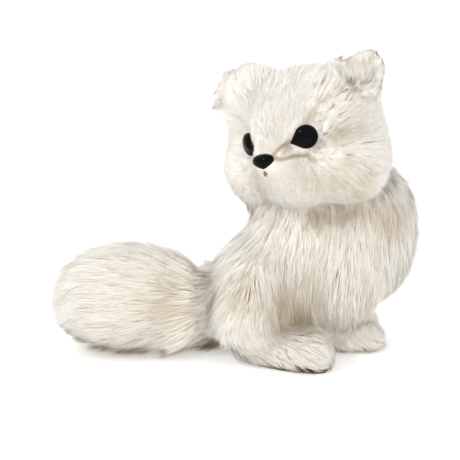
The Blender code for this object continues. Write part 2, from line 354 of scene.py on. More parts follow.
# %% The eye's outline
EYE = 7.2 * MM  # radius of the round part
EYE_NEAR = 12 * MM  # how far ahead of or behind an eye's rim a point still belongs to it
DUCT = {name: Vector((0, -side * 10.2, -1.9)) * MM for name, side in SIDES.items()}


def eye_reach(y, z, name):
    """How far the teardrop's edge is from its middle, in the direction of (y, z)."""
    far = DUCT[name].length
    turn = np.arctan2(z, y) - np.arctan2(DUCT[name].z, DUCT[name].y)
    turn = np.abs((turn + np.pi) % (2 * np.pi) - np.pi)
    flank = np.arccos(EYE / far)
    return np.where(turn < flank, EYE / np.cos(flank - np.minimum(turn, flank)), EYE)


def beside_eye(points, name):
    """For each point: how far ahead of the eye's rim it is, and how far outside its edge."""
    seen = in_frame(points, EYE_LOOK[name])
    ring = np.linalg.norm(seen[:, 1:], axis=1)
    return seen[:, 0], ring - eye_reach(seen[:, 1], seen[:, 2], name)


print("the tear duct is", round(DUCT["left"].length / MM, 1), "mm from the eye's middle")

# %% [markdown]
# ## Sinking the skin
# The outline so far is that of the fur's tips. The skin lies under it by the depth of the coat: least on
# the face and paws, most on the tail. The depths are blurred first, so that one region runs into the
# next one. The skin then gets a second remesh, because sinking crowds its faces in the hollows.

# %% Sink the skin
HEAD_REACH = 70 * MM  # the head's points are within this of its middle
FACE_FROM, FACE_TO = 12 * MM, 58 * MM  # from the nose's tip: where the face starts and has ended
FACE_THIN = 0.62  # how much shallower the coat is at the nose than the table says for the head
NOSE_DEPTH = 1.2 * MM
EAR_END = 2.5 * MM  # the hanging tip of the right ear is mostly hair


def face_share(points):
    """1 at the nose, falling to 0 where the face runs into the crown and cheeks."""
    on_head = apart(points, HEAD.translation) < HEAD_REACH
    return on_head * (1 - smoothstep(apart(points, NOSE_TIP), FACE_FROM, FACE_TO))


points = read(skin.data.vertices, "co", 3)
ends = read(skin.data.edges, "vertices", 2, np.int32)
depth = np.array([COAT_TABLE[r][0] for r in REGIONS])[regions_at(points)] * MM
depth = averaged(depth * (1 - FACE_THIN * face_share(points)), ends, 12)[:, 0]
depth = NOSE_DEPTH + (depth - NOSE_DEPTH) * smoothstep(apart(points, NOSE_TIP), 6 * MM, 16 * MM)
depth += EAR_END * smoothstep(-in_frame(points, HEAD)[:, 1] / MM, 50, 58)
up = averaged(read(skin.data.vertices, "normal", 3), ends, 3)
place_points(skin, points - up * depth[:, None])
apply_modifier(skin, "SMOOTH", factor=0.5, iterations=4)
apply_modifier(skin, "REMESH", mode="VOXEL", voxel_size=SKIN_VOXEL)
apply_modifier(skin, "SMOOTH", factor=0.5, iterations=6)
print("skin sunk by", round(depth.min() / MM, 1), "to", round(depth.max() / MM, 1), "mm")

# %% [markdown]
# ## Folds of the face
# On the pelt a brow stands over each eye and runs up to the ear, and shallow folds run from the nose to
# the tear duct and under the eye. Each is a line in the head's own frame, given for the left side, and
# the skin rises or sinks along it.

# %% Lines of the face
BROW = [(11, -3), (14, 4), (20.8, 11.5), (30.4, 19.8), (38.6, 24.7), (45, 27)]
FOLD_OVER = [(6.5, -4.5), (9.5, -1.5), (13, 0.5)]
FOLD_UNDER = [(7, -6.5), (9.5, -8.4), (13.5, -8.2), (20.4, -9.0), (26.0, -13)]


def from_line(points, line):
    """Distance of points from a broken line. Off a flat line it is plus on the left of its run."""
    best = np.full(len(points), 1e9)
    for a, b in zip(np.array(line, float), np.array(line[1:], float)):
        run = b - a
        t = np.clip(((points - a) @ run) / (run @ run), 0, 1)
        off = points - a - t[:, None] * run
        far = np.linalg.norm(off, axis=1)
        if len(run) == 2:
            far = np.where(run[0] * off[:, 1] < run[1] * off[:, 0], -far, far)
        best = np.where(np.abs(far) < np.abs(best), far, best)
    return best


print("the brow runs", round(float(np.linalg.norm(np.diff(BROW, axis=0), axis=1).sum())), "mm")

# %% [markdown]
# A bell curve across each line gives its height: it is 1 on the line and fades out within a width. The
# bridge of the nose is one broad ridge between the eyes. The same function says how much shade is painted
# along the folds, which the markings use.

# %% Height of the folds


def bell(off, width):
    return np.exp(-((off / width) ** 2))


def face_relief(points):
    """Height in mm that the folds add to the skin, and how much shade is painted along them."""
    seen = in_frame(points, HEAD) / MM
    flat = np.stack([np.abs(seen[:, 1]), seen[:, 2]], 1)
    front = smoothstep(seen[:, 0], -4, 8) * (0.35 + 0.65 * smoothstep(seen[:, 1], -6, 2))
    brow, over, under = (from_line(flat, line) for line in (BROW, FOLD_OVER, FOLD_UNDER))
    rise = 0.9 * bell(brow - 1.8, 2.8) - 0.8 * bell(brow + 1.6, 2.2)
    rise -= 1.0 * bell(over, 1.2) + 1.1 * bell(under, 1.3)
    bridge = 1.7 * np.exp(-((flat[:, 0] / 6) ** 4))
    bridge *= smoothstep(seen[:, 0], 20, 28) * smoothstep(seen[:, 2], -2, 3)
    crease_shade = 0.5 * bell(brow + 1.2, 1.8) + bell(over, 1.3) + bell(under, 1.3)
    return rise * front + bridge, np.clip(crease_shade, 0, 1) * front


points = read(skin.data.vertices, "co", 3)
up = read(skin.data.vertices, "normal", 3)
relief = face_relief(points)[0]
points += up * (relief * MM)[:, None]
print("folds from", round(relief.min(), 1), "to", round(relief.max(), 1), "mm")

# %% [markdown]
# Behind each eye the skin is pressed flat, like the seat that the bead is glued to. It lies 1 mm behind
# the bead's rim, and rises to the face again over 4 mm.

# %% Eye seats
SEAT_DEEP = 1.0 * MM
for name in SIDES:
    ahead, outside = beside_eye(points, name)
    seat = (1 - smoothstep(outside, 0.5 * MM, 4.5 * MM)) * (ahead > -EYE_NEAR)
    points -= np.array(EYE_LOOK[name])[:3, 0] * (seat * np.maximum(ahead + SEAT_DEEP, 0))[:, None]
place_points(skin, points)
bpy.ops.object.shade_smooth()
print("skin:", len(skin.data.polygons), "faces")

# %% [markdown]
# ## The skin's unwrap
# Smart projection cuts the skin into patches that lie nearly flat. Nothing is painted on them: they give
# each strand of the coat a place of its own on the map, at the place of its root.

# %% Unwrap the skin
bpy.ops.object.mode_set(mode="EDIT")
bpy.ops.mesh.select_all(action="SELECT")
bpy.ops.uv.smart_project(angle_limit=radians(66), island_margin=0.004)
bpy.ops.object.mode_set(mode="OBJECT")
skin.data.uv_layers.active.name = "OFBake"
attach(skin, "root")
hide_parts(*FLESH)
print("unwrapped")

# %% [markdown]
# ## The lie of the coat
# Fur grows away from the nose over the face, outward along the ears, down the neck, breast and flanks,
# along the tail to its tip, and towards the toes on the paws. First, each point is given its region and
# its place as the head sees it.

# %% Points of the finished skin
points = read(skin.data.vertices, "co", 3)
normals = read(skin.data.vertices, "normal", 3)
ends = read(skin.data.edges, "vertices", 2, np.int32)
regions = regions_at(points)
of_region = {name: regions == i for i, name in enumerate(REGIONS)}
seen = in_frame(points, HEAD) / MM
print({name: int(inside.sum()) for name, inside in of_region.items()})

# %% [markdown]
# The body's rules are one direction for each region: nearly straight down on the neck, breast, thighs and
# forelegs, forward over the toes, and outward too on the hind paws.

# %% The lie on the body
BODY_LIE = {
    "neck": (0.05, 0, -1),
    "trunk": (-0.15, 0, -1),
    "thigh": (-0.12, 0, -1),
    "foreleg": (0.05, 0, -1),
    "forepaw": (0.9, 0, -0.7),
    "hindpaw": (0.9, 0.5, -0.5),
}
lie = np.zeros_like(points)
for name, way in BODY_LIE.items():
    lie[of_region[name]] = way
lie[of_region["hindpaw"] & (points[:, 1] < 0), 1] *= -1
print("body combed")

# %% [markdown]
# On the tail the coat runs to the tip, and over the blunt end it is combed down. Where the tail leaves
# the rump, the body's coat sweeps back over its root and hides the join.

# %% The lie on the tail and rump
TAIL_ROOT = (-0.052, -0.006, 0.036)
of_tail = of_region["tail"]
tail_end = smoothstep(normals @ TAIL_WAY, 0.05, 0.75) * of_tail * (points[:, 0] < -0.08)
lie[of_tail] = (TAIL_WAY - np.array([0, 0, 0.9]) * tail_end[:, None] ** 2)[of_tail]
rump = smoothstep(-apart(points, TAIL_ROOT), -0.044, -0.024) * (of_region["trunk"] | of_region["thigh"])
rump *= 1 - smoothstep(points[:, 2], 0.040, 0.054)
print("tail end:", int((tail_end > 0.5).sum()), "points, rump:", int((rump > 0.5).sum()), "points")

# %% [markdown]
# On the head the hair radiates from the nose. At the temples it turns outward, under the brow's line, and
# on the lower head and the nape it hangs. Along the ears it runs from root to tip, and from the right
# ear, which lies over, it hangs down.

# %% The lie on the head
TEMPLE_TURN = 0.75
on_top = of_region["head"] | of_region["muzzle"] | of_region["ear"]
low = smoothstep(-seen[:, 2], 2, 30)[:, None]
temple = smoothstep(-from_line(np.stack([np.abs(seen[:, 1]), seen[:, 2]], 1), BROW), 0, 5)
temple = temple * smoothstep(seen[:, 2], -16, -4) * smoothstep(seen[:, 0], -12, 4)
temple = TEMPLE_TURN * temple[:, None]
level = np.ones(len(points))
outward = out_of_frame(np.stack([-0.5 * level, np.sign(seen[:, 1]), 0.4 * level], 1), HEAD)
head_lie = unit(points - NOSE_TIP) * (1 - temple) + temple * outward + low * np.array([0, 0, -0.75])
nape = smoothstep(-seen[:, 0], 5, 28)[:, None]
head_lie = head_lie * (1 - nape) + nape * np.array([0, 0, -1])
for name in SIDES:
    mine = of_region["ear"] & (apart(seen * MM, EAR_TIP[name]) < 0.045)
    head_lie[mine] = unit(out_of_frame(seen[mine] * MM - np.array(EAR_ROOT[name]), HEAD))
hanging = of_region["ear"] & (seen[:, 1] < -50)
head_lie[hanging] = unit(out_of_frame(np.array([0.1, -0.55, -1.0]), HEAD))
lie[on_top] = head_lie[on_top]
print("head combed")

# %% [markdown]
# Each direction is then laid flat on the skin, and sharing it with the neighbours turns one region's lie
# into the next one's. Last, the short hair round each eye is turned away from the bead. The right eye,
# which is half hidden by the bridge of the nose, keeps more of its hair over the rim.

# %% One lie from all the rules
TURN_FROM_EYE = {"left": 1.1, "right": 0.3}


def laid_flat(ways, up):
    return unit(ways - (ways * up).sum(1, keepdims=True) * up)


lie = lie * (1 - rump[:, None]) + rump[:, None] * np.array([-0.9, 0, -0.4])
lie = laid_flat(lie, normals)
for _ in range(3):
    lie = laid_flat(averaged(lie, ends, 5), normals)
for name in SIDES:
    ahead, outside = beside_eye(points, name)
    away = laid_flat(points - np.array(EYE_LOOK[name].translation), normals)
    ring = ((1 - smoothstep(outside, 0.5 * MM, 5 * MM)) * (np.abs(ahead) < EYE_NEAR))[:, None]
    lie = laid_flat(lie * (1 - 0.8 * ring) + TURN_FROM_EYE[name] * away * ring, normals)
print("lie of the coat laid over", len(points), "points")

# %% [markdown]
# ## Depth, length, width and hug
# The table gives each region's coat in millimetres. Then come the places where a real coat differs: it is
# shorter and finer towards the nose, stands off more at the tail's end and under it, and hangs more
# freely over the rump and below the cheeks. Hug says how closely a lock follows the skin: at 1 it lies
# along it all the way, and at 0 it runs straight on and its tip stands free.

# %% Depth and length on the body and tail
FACE_SHORT, FACE_FINE = 0.58, 0.30  # how much shorter and finer the hair is at the nose
depth, length, width, hug = np.array([COAT_TABLE[r] for r in REGIONS])[regions].T
on_face = face_share(points)
depth *= 1 - FACE_THIN * on_face
length *= 1 - FACE_SHORT * on_face
width *= 1 - FACE_FINE * on_face
jowl = smoothstep(-seen[:, 2], 18, 34) * of_region["head"]
tail_start = of_tail * smoothstep(points[:, 0], -0.075, -0.045)
tail_side = of_tail * smoothstep(-points[:, 0], 0.095, 0.125) * (1 - tail_end)
tail_low = of_tail * smoothstep(-points[:, 2], -0.026, -0.012) * smoothstep(normals[:, 2], 0.1, -0.2)
tail_low *= smoothstep(-points[:, 0], 0.064, 0.085)
CHANGES = [  # where, change of length in mm, change of hug
    (jowl, 3, -0.25),
    (rump, 4, -0.45),
    (tail_start, 0, -0.3),
    (tail_side, 0, 0.15),
    (tail_low, -7, -0.55),
    (tail_end, -9, 0),
]
hug *= 1 - 0.45 * tail_end
for where, longer, closer in CHANGES:
    length += longer * where
    hug += closer * where
depth *= 1 + 0.25 * tail_low
depth, length, width, hug = averaged(np.stack([depth, length, width, hug], 1), ends, 10).T
print("coat depth:", round(depth.min(), 1), "to", round(depth.max(), 1), "mm")

# %% [markdown]
# Where the tail and the ears meet the rest, a sharp valley is left between two round forms. The coat is
# deepened there, so that it fills the valley as thick fur does. The ears' hollows are stuffed with
# longer, freer hair, and round the eyes the coat is clipped short.

# %% Depth and length in the hollows and round the eyes
VALLEY_FILL = {"tail": 6.0, "ear": 2.5}  # in mm
CUP_DEEPER, CUP_LONGER = 3.5, 3  # in mm
HANGING_LONGER, HANGING_HUG = 4, 0.2  # the right ear's tip
EYE_DEPTH, EYE_LENGTH = 1.4, 3.2  # in mm, at the bead's edge
for name, fill in VALLEY_FILL.items():
    inside = averaged(of_region[name], ends, 10)[:, 0]
    valley = 4 * inside * (1 - inside)
    depth += fill * valley
    hug *= 1 - 0.6 * valley
hanging = of_region["ear"] & (seen[:, 1] < -52)
length[hanging] += HANGING_LONGER
hug[hanging] = HANGING_HUG
for name in SIDES:
    cup = 1 - smoothstep(apart(seen, EAR_CUP[name]), 5, 10)
    depth += CUP_DEEPER * cup
    length += CUP_LONGER * cup
    hug *= 1 - cup
for name in SIDES:
    ahead, outside = beside_eye(points, name)
    ring = np.where(np.abs(ahead) < EYE_NEAR, smoothstep(outside, 0.5 * MM, 7 * MM), 1)
    depth = EYE_DEPTH + (depth - EYE_DEPTH) * ring
    length = EYE_LENGTH + (length - EYE_LENGTH) * ring
print("coat length:", round(length.min(), 1), "to", round(length.max(), 1), "mm")

# %% [markdown]
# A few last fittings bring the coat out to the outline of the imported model: on the bridge of the nose, on
# the tail, and on the paws, whose fur spreads a little where it meets the floor.

# %% Fit the coat to the outline
RIDGE_MORE = 0.8  # mm
TAIL_MORE, PAW_MORE, PAW_SPREAD = 0.15, 0.3, 0.2  # shares of the depth
ridge = smoothstep(seen[:, 0], 14, 24) * np.exp(-((seen[:, 1] / 9) ** 4)) * smoothstep(seen[:, 2], -4, 1)
depth += RIDGE_MORE * ridge
depth *= 1 + TAIL_MORE * averaged(of_tail, ends, 4)[:, 0]
paw = averaged(of_region["hindpaw"] | of_region["forepaw"], ends, 4)[:, 0]
near_floor = 1 - smoothstep(points[:, 2], 4 * MM, 10 * MM)
depth *= 1 + paw * (PAW_MORE + PAW_SPREAD * near_floor)
depth, length, width = depth * MM, length * MM, width * MM
soft = averaged(1.5 - 0.2 * of_region["ear"], ends, 4)[:, 0]  # shading as coat, not as hair
print("strands", round(width.min() / MM, 2), "to", round(width.max() / MM, 2), "mm wide")

# %% [markdown]
# ## Markings and painted shade
# The pelt is white with a faint cream cast, deeper on the tail's root and in the ears. Shade is painted in
# too,
# as cream and brown: along the collar under the ruff, in the folds of the face, under the cheeks and jaw,
# and browner in the hollow between thigh and foreleg. Each marking is a soft round patch, or a soft line.
# The same values colour the skin and every strand that grows on it.

# %% Where the marks are
# the pelt's own cream, with painted shade in the fold under the ruff at the breast
BODY_CREAM_AND_SHADE = [  # place in mm on the right side, reach in mm, strength
    ((-78, -26, 50), 15, 0.8), ((-82, -29, 36), 17, 0.85),
    ((-92, -28, 42), 16, 0.5), ((-100, -20, 40), 45, 0.25),
    ((-36, -38, 46), 13, 0.75), ((33, -30, 26), 16, 0.7),
    ((10, -36, 50), 15, 0.6), ((56, -30, 86), 14, 0.95),
    ((-30, -36, 62), 10, 0.4), ((30, -33, 62), 10, 0.35), ((15, -36, 45), 50, 0.3),
]
# painted shade, brown, in the hollow between thigh and foreleg
HOLLOW_SHADE = [  # the hollow between thigh and foreleg
    ((-24, -41, 42), 9, 0.4), ((-11, -39, 41), 10, 0.85), ((0, -37, 31), 11, 0.9), ((-13, -38, 28), 10, 0.8),
]
# a line of painted shade under the head's ruff
COLLAR_SHADE_LINE = [(10, -27, 91), (20, -27, 91), (33, -29, 93), (46, -31, 98), (51, -38, 118)]  # in mm
# the pelt's own cream by the eyes and in the ears, with painted shade on the lower cheeks and under the jaw
HEAD_CREAM_AND_SHADE = [  # place in mm in the head's frame, left side
    ((20, 42, -1), 7, 0.95), ((10, 49, 0), 6, 0.7), ((23, 46, -18), 6, 0.7), ((30, 22, -25), 12, 0.6),
    ((1, 46.5, 38), 3, 0.6), ((0, 54, 37), 3, 0.6), ((10, 45, 10), 10, 0.4), ((31, 8, 14), 6, 0.2),
    ((24, 37, -27), 11, 0.7), ((12, 46, -30), 10, 0.75), ((18, 26, -38), 8, 0.7), ((10, 38, -39), 9, 0.95),
]
EAR_BROWN = [((0, 46.5, 27), 3.0, 0.28), ((5, 51.5, 17.5), 3.0, 0.28)]
EAR_RIM = [(1, 58.5, 29.5), (0, 58, 23.8), (-2.6, 56.5, 18), (-3.5, 53, 12.5)]  # the left ear's
print(len(BODY_CREAM_AND_SHADE + HOLLOW_SHADE + HEAD_CREAM_AND_SHADE + EAR_BROWN), "patches and two lines")

# %% [markdown]
# A patch is strongest in its middle and fades out with distance, and where patches meet, the stronger one
# counts. Patches are mirrored about the middle plane, but fainter on the right of the face. Near the floor,
# and most of all under the tail, shade is painted into the fur as brown.

# %% Markings at any place
# cream and brown painted as shade along the folds of the face
CREASE_SHADE_CREAM, CREASE_SHADE_BROWN = 0.85, 0.3
# cream and brown painted as shade under the ruff
COLLAR_SHADE_CREAM, COLLAR_SHADE_BROWN = 0.75, 0.3
RIM_BROWN = 0.65


def patches(points, listed):
    """How strongly each point is marked by soft patches, mirrored about the middle plane."""
    mirrored = points.copy()
    mark = np.zeros(len(points))
    for place, reach, strength in listed:
        mirrored[:, 1] = np.sign(place[1]) * np.abs(points[:, 1])
        mark = np.maximum(mark, strength * bell(apart(mirrored, place), reach))
    return mark


def marks_at(places, of_head, under):
    """Cream and brown at each place, painted shade among them. of_head is 1 for the head's own marks; under
    is 1 where shade is painted on the underside.
    """
    seen = in_frame(places, HEAD) / MM
    crease_shade = face_relief(places)[1]
    face = patches(seen, HEAD_CREAM_AND_SHADE) * (0.4 + 0.6 * smoothstep(seen[:, 1], -8, 8))
    face = np.maximum(face, CREASE_SHADE_CREAM * crease_shade)
    collar = from_line(places / MM, COLLAR_SHADE_LINE)
    body = np.maximum(patches(places / MM, BODY_CREAM_AND_SHADE), COLLAR_SHADE_CREAM * bell(collar, 10))
    cream = of_head * face + (1 - of_head) * body
    ear = patches(seen, EAR_BROWN) + RIM_BROWN * bell(from_line(seen, EAR_RIM), 1.3)
    body = np.maximum(patches(places / MM, HOLLOW_SHADE), COLLAR_SHADE_BROWN * bell(collar, 4.5))
    brown = of_head * (ear + CREASE_SHADE_BROWN * crease_shade) + (1 - of_head) * body
    # painted shade: the fur browns within a few millimetres of the floor, most under the tail
    floor_shade_height = (2.9 + 3.0 * bell(places[:, 0] + 0.075, 0.030)) * MM
    floor_shade = 1 - smoothstep(places[:, 2], 0.3 * floor_shade_height, floor_shade_height)
    return np.clip(np.stack([cream, np.maximum(brown, np.maximum(under, floor_shade))], 1), 0, 1)


print("at the collar:", marks_at(np.array(COLLAR_SHADE_LINE) * MM, 0, 0).round(2)[0], "cream and brown")

# %% [markdown]
# The values are kept as a colour attribute named coat: red is the place along a hair, from root to tip,
# green a hair's own tone, blue the cream and alpha the brown, both carrying painted shade. The skin counts
# as the hairs' roots, but on the face it nears the colour of the tips, because there the coat is so thin
# that it shows.

# %% Markings over the skin
head_share = averaged(on_top, ends, 2)[:, 0]
# painted shade on the undersides that face the floor
underside_shade = smoothstep(-normals[:, 2], 0.65, 0.88) * (points[:, 2] < 0.05)
underside_shade *= 1 - smoothstep(points[:, 0], 0.02, 0.035)
underside_shade = averaged(underside_shade, ends, 2)[:, 0]


def set_marks(mesh, values):
    made = mesh.color_attributes.new("coat", "FLOAT_COLOR", "POINT")
    made.data.foreach_set("color", values.astype(np.float32).ravel())


marks = marks_at(points, head_share, underside_shade)
middle_tone = np.full((len(points), 1), 0.5)
set_marks(skin.data, np.hstack([0.6 * on_face[:, None], middle_tone, marks]))
print("mean cream and brown:", marks.mean(0).round(3))

# %% [markdown]
# ## Roots on the skin
# Hairs are rooted at random in the skin's triangles, more of them where the triangle is larger. Every
# value of the skin's points can then be read at a root, as a mean of the triangle's three corners. One
# random generator with a fixed seed makes the same coat each time.

# %% Roots
rng = np.random.default_rng(7)
skin.data.calc_loop_triangles()
tri_points = read(skin.data.loop_triangles, "vertices", 3, np.int32)
tri_loops = read(skin.data.loop_triangles, "loops", 3, np.int32)
tri_count = len(tri_points)
skin_uv = read(skin.data.uv_layers["OFBake"].uv, "vector", 2)
corners = points[tri_points]
edges = corners[:, 1:] - corners[:, :1]
tri_area = 0.5 * np.linalg.norm(np.cross(edges[:, 0], edges[:, 1]), axis=1)


def scatter(count, chance):
    """Random roots on the skin: the triangle of each, and its share of the triangle's three corners."""
    tri = rng.choice(tri_count, count, p=chance / chance.sum())
    a, b = rng.random((2, count))
    over = a + b > 1
    a[over], b[over] = 1 - a[over], 1 - b[over]
    return tri, np.stack([1 - a - b, a, b], 1)


def on_skin(values, tri, share):
    """A value of the skin's points, read at roots inside its triangles."""
    return np.einsum("ij,ij...->i...", share, values[tri_points[tri]])


print("the coat covers", round(tri_area.sum() * 1e4), "square centimetres")

# %% [markdown]
# ## Locks
# A pelt's hairs gather in locks. One guide path is walked down the middle of each lock: it leaves the
# skin, bends over and then follows the lie at the coat's depth, so that the tips end at the outline.
# Where the coat hugs the skin less, the path runs on more nearly straight, and the tip stands off.

# %% Walk the guide paths
LOCKS = 16000
STEPS = 3
RISE = [0.0, 0.55, 0.88, 1.0]  # the share of the coat's depth that a lock has reached at each step
STRAY = 0.13  # how far locks turn aside from the lie, as a slope
skin_tree = BVHTree.FromPolygons(points.tolist(), tri_points.tolist())
tri, share = scatter(LOCKS, tri_area * (1 / width[tri_points].mean(1)) ** 2)
guide_root = on_skin(points, tri, share)
guide_height = np.clip(rng.normal(1.0, 0.07, LOCKS), 0.8, 1.25)
guide_length = on_skin(length, tri, share) * rng.uniform(0.85, 1.15, LOCKS)
guide_path = np.empty((LOCKS, STEPS + 1, 3))
guide_path[:, 0] = guide_root
stray = rng.normal(0, STRAY, LOCKS)
for i in range(LOCKS):
    v = tri_points[tri[i]][0]
    place, index, start, hold = Vector(guide_root[i]), tri[i], v, hug[v]
    straight = lie[v] + stray[i] * np.cross(normals[v], lie[v])
    for k in range(1, STEPS + 1):
        v = tri_points[index][0]
        way = lie[v] + stray[i] * np.cross(normals[v], lie[v])
        place, _, index, _ = skin_tree.find_nearest(place + Vector(way * (guide_length[i] / STEPS)))
        v = tri_points[index][0]
        held = np.array(place) + normals[v] * (RISE[k] * guide_height[i] * depth[v])
        free = guide_root[i] + straight * (guide_length[i] * k / STEPS)
        free = free + normals[start] * (RISE[k] * guide_height[i] * depth[start])
        guide_path[i, k] = hold * held + (1 - hold) * free
guides = KDTree(LOCKS)
for i in range(LOCKS):
    guides.insert(guide_root[i], i)
guides.balance()
print(LOCKS, "locks")

# %% [markdown]
# ## One strand
# A strand stands for a few hairs that cling together. It is a closed blade of six triangles: a point at
# the root, one flat triangular ring halfway, with its back up and a keel under it, and a point at the
# tip. On the OFBake map it is a small patch at its root's place on the skin's unwrap.

# %% One strand's triangles
PATCH = 0.003
BLADE = [(1.0, 0.0), (0.0, -0.42), (-1.0, 0.0)]  # across and up, in half widths


def blade_faces():
    """One strand's triangles, and the corner places of each on its patch."""
    faces, places = [], []
    for j in range(3):
        left, right, middle = j * PATCH / 3, (j + 1) * PATCH / 3, (j + 0.5) * PATCH / 3
        a, b = 1 + j, 1 + (j + 1) % 3
        faces += [(0, b, a), (a, b, 4)]
        places.append([(middle, 0), (right, PATCH / 2), (left, PATCH / 2)])
        places.append([(left, PATCH / 2), (right, PATCH / 2), (middle, PATCH)])
    return np.array(faces), np.array(places)


print("a strand has", len(blade_faces()[0]), "triangles")

# %% [markdown]
# Every strand takes its path from the three guides nearest to its root, and is drawn in towards the
# nearest one on its way to the tip. Its length varies a little, it curls a little, and the floor stops it.

# %% Paths of the strands
CURL = 0.018  # how far a strand bows out, as a share of its length
ROOT_SUNK = 0.4 * MM
FLOOR_CLEAR = 0.2 * MM


def strand_paths(tri, share, clump, lift):
    root = on_skin(points, tri, share)
    up = on_skin(normals, tri, share)
    hits = np.array([[(hit[1], hit[2]) for hit in guides.find_n(r, 3)] for r in root])
    pick = hits[:, :, 0].astype(int)
    weight = 1 / (hits[:, :, 1] + 0.5 * MM) ** 2
    weight /= weight.sum(1, keepdims=True)
    t = np.linspace(0, 1, STEPS + 1)
    path = root[:, None] + np.einsum("ij,ijkl->ikl", weight, guide_path[pick] - guide_path[pick][:, :, :1])
    path += (clump[:, None] * t**1.3)[:, :, None] * (guide_path[pick[:, 0]] - path)
    path = root[:, None] + (path - root[:, None]) * rng.uniform(0.86, 1.06, len(root))[:, None, None]
    curl = rng.normal(0, 1, (len(root), 3)) * (CURL * on_skin(length, tri, share))[:, None]
    path += curl[:, None] * np.sin(2.8 * t)[None, :, None]
    path += up[:, None] * (lift[:, None] * t**2)[:, :, None]
    path[:, 0] -= ROOT_SUNK * up
    path[:, :, 2] = np.maximum(path[:, :, 2], FLOOR_CLEAR)
    return path, up


print("strands follow the three nearest locks")

# %% [markdown]
# A maker trims the fur where it would hide the eyes, the nose, the mouth and the toe pads. Here a strand
# whose outer half would end over one of them isn't grown. A little hair may still overhang each eye's
# rim, and more of it at the right one.

# %% Trim round the face and toes
OVERHANG = {"left": -0.8 * MM, "right": -2.4 * MM}  # hair over the rim of each eye
EYE_TRIM = 10 * MM
BARE = [(NOSE, (5.6, 8.0, 5.1)), (MOUTH, (4.0, 0.35, 1.4))]  # middle, half sizes in mm
TOE_BARE = (2.0, 3.5, 2.0)  # half sizes in mm
TOE_BARE_OUT = 1.5  # mm further out than the pad's own place


def clear_of_face(path):
    """Which strands keep off the eyes, the nose, the mouth and the toe pads."""
    flat = path[:, 2:].reshape(-1, 3)
    hit = np.zeros(len(flat), bool)
    for name in SIDES:
        ahead, outside = beside_eye(flat, name)
        hit |= (outside < OVERHANG[name]) & (np.abs(ahead) < EYE_TRIM)
    for place, half_sizes in BARE:
        off = (in_frame(flat, HEAD) - np.array(place)) / (np.array(half_sizes) * MM)
        hit |= np.linalg.norm(off, axis=1) < 1
    mirrored = flat / MM
    mirrored[:, 1] = np.abs(mirrored[:, 1])
    for x, y, z in TOES:
        off = (mirrored - (x, TOE_BARE_OUT - y, z)) / TOE_BARE
        hit |= np.linalg.norm(off, axis=1) < 1
    return ~hit.reshape(len(path), -1).any(1)


print("trimmed round", len(SIDES), "eyes,", len(BARE), "places of the face and", 2 * len(TOES), "toe pads")

# %% [markdown]
# ## The mesh of one coat piece
# Thousands of strands are one mesh. Their points are worked out as arrays and handed over in one go, as
# adding them one by one would take hours. No strand is rooted within a millimetre of the floor.

# %% Points and triangles of many strands


def strand_points(path, across, rise, half):
    """The five points of each strand: root, three round the middle, tip."""
    verts = np.empty((len(path), 5, 3))
    verts[:, 0], verts[:, 4] = path[:, 0], path[:, 2]
    for j, (a, b) in enumerate(BLADE):
        verts[:, 1 + j] = path[:, 1] + half[:, None] * (a * across[:, 1] + b * rise[:, 1])
    return verts


def strand_mesh(name, verts):
    """A mesh of closed blades, with the same triangles for each."""
    count, per = verts.shape[:2]
    faces = blade_faces()[0]
    index = (faces[None] + (np.arange(count) * per)[:, None, None]).reshape(-1)
    mesh = bpy.data.meshes.new(name)
    mesh.vertices.add(count * per)
    mesh.vertices.foreach_set("co", verts.astype(np.float32).ravel())
    mesh.loops.add(len(index))
    mesh.loops.foreach_set("vertex_index", index.astype(np.int32))
    mesh.polygons.add(len(index) // 3)
    mesh.polygons.foreach_set("loop_start", np.arange(0, len(index), 3, dtype=np.int32))
    mesh.update(calc_edges=True)
    return mesh


print("a strand has", strand_points(*np.zeros((3, 1, 3, 3)), np.zeros(1)).shape[1], "points")

# %% [markdown]
# Each strand is then given its patch on the map and its colour values. Its shading normals lean towards
# the skin's own, as light passes from hair to hair in a real coat: the coat then shades as one soft
# body, with a hint of each hair, and not as thousands of separate blades.

# %% Grow a coat piece
ALONG = [0, 0.5, 0.5, 0.5, 1]  # how far along the strand each of its points is
COAT_NORMAL = [0.5, 1, 0, 1, 0.5]  # how much each point's normal leans towards the skin's
UV_MARGIN = 0.0005


def patch_map(tri, share):
    """The strands' patches on the unwrap, kept inside its border."""
    root_uv = np.einsum("ij,ijk->ik", share, skin_uv[tri_loops[tri]])
    root_uv = np.clip(root_uv - PATCH / 2, UV_MARGIN, 1 - PATCH - UV_MARGIN)
    return (root_uv[:, None, None] + blade_faces()[1][None]).astype(np.float32)


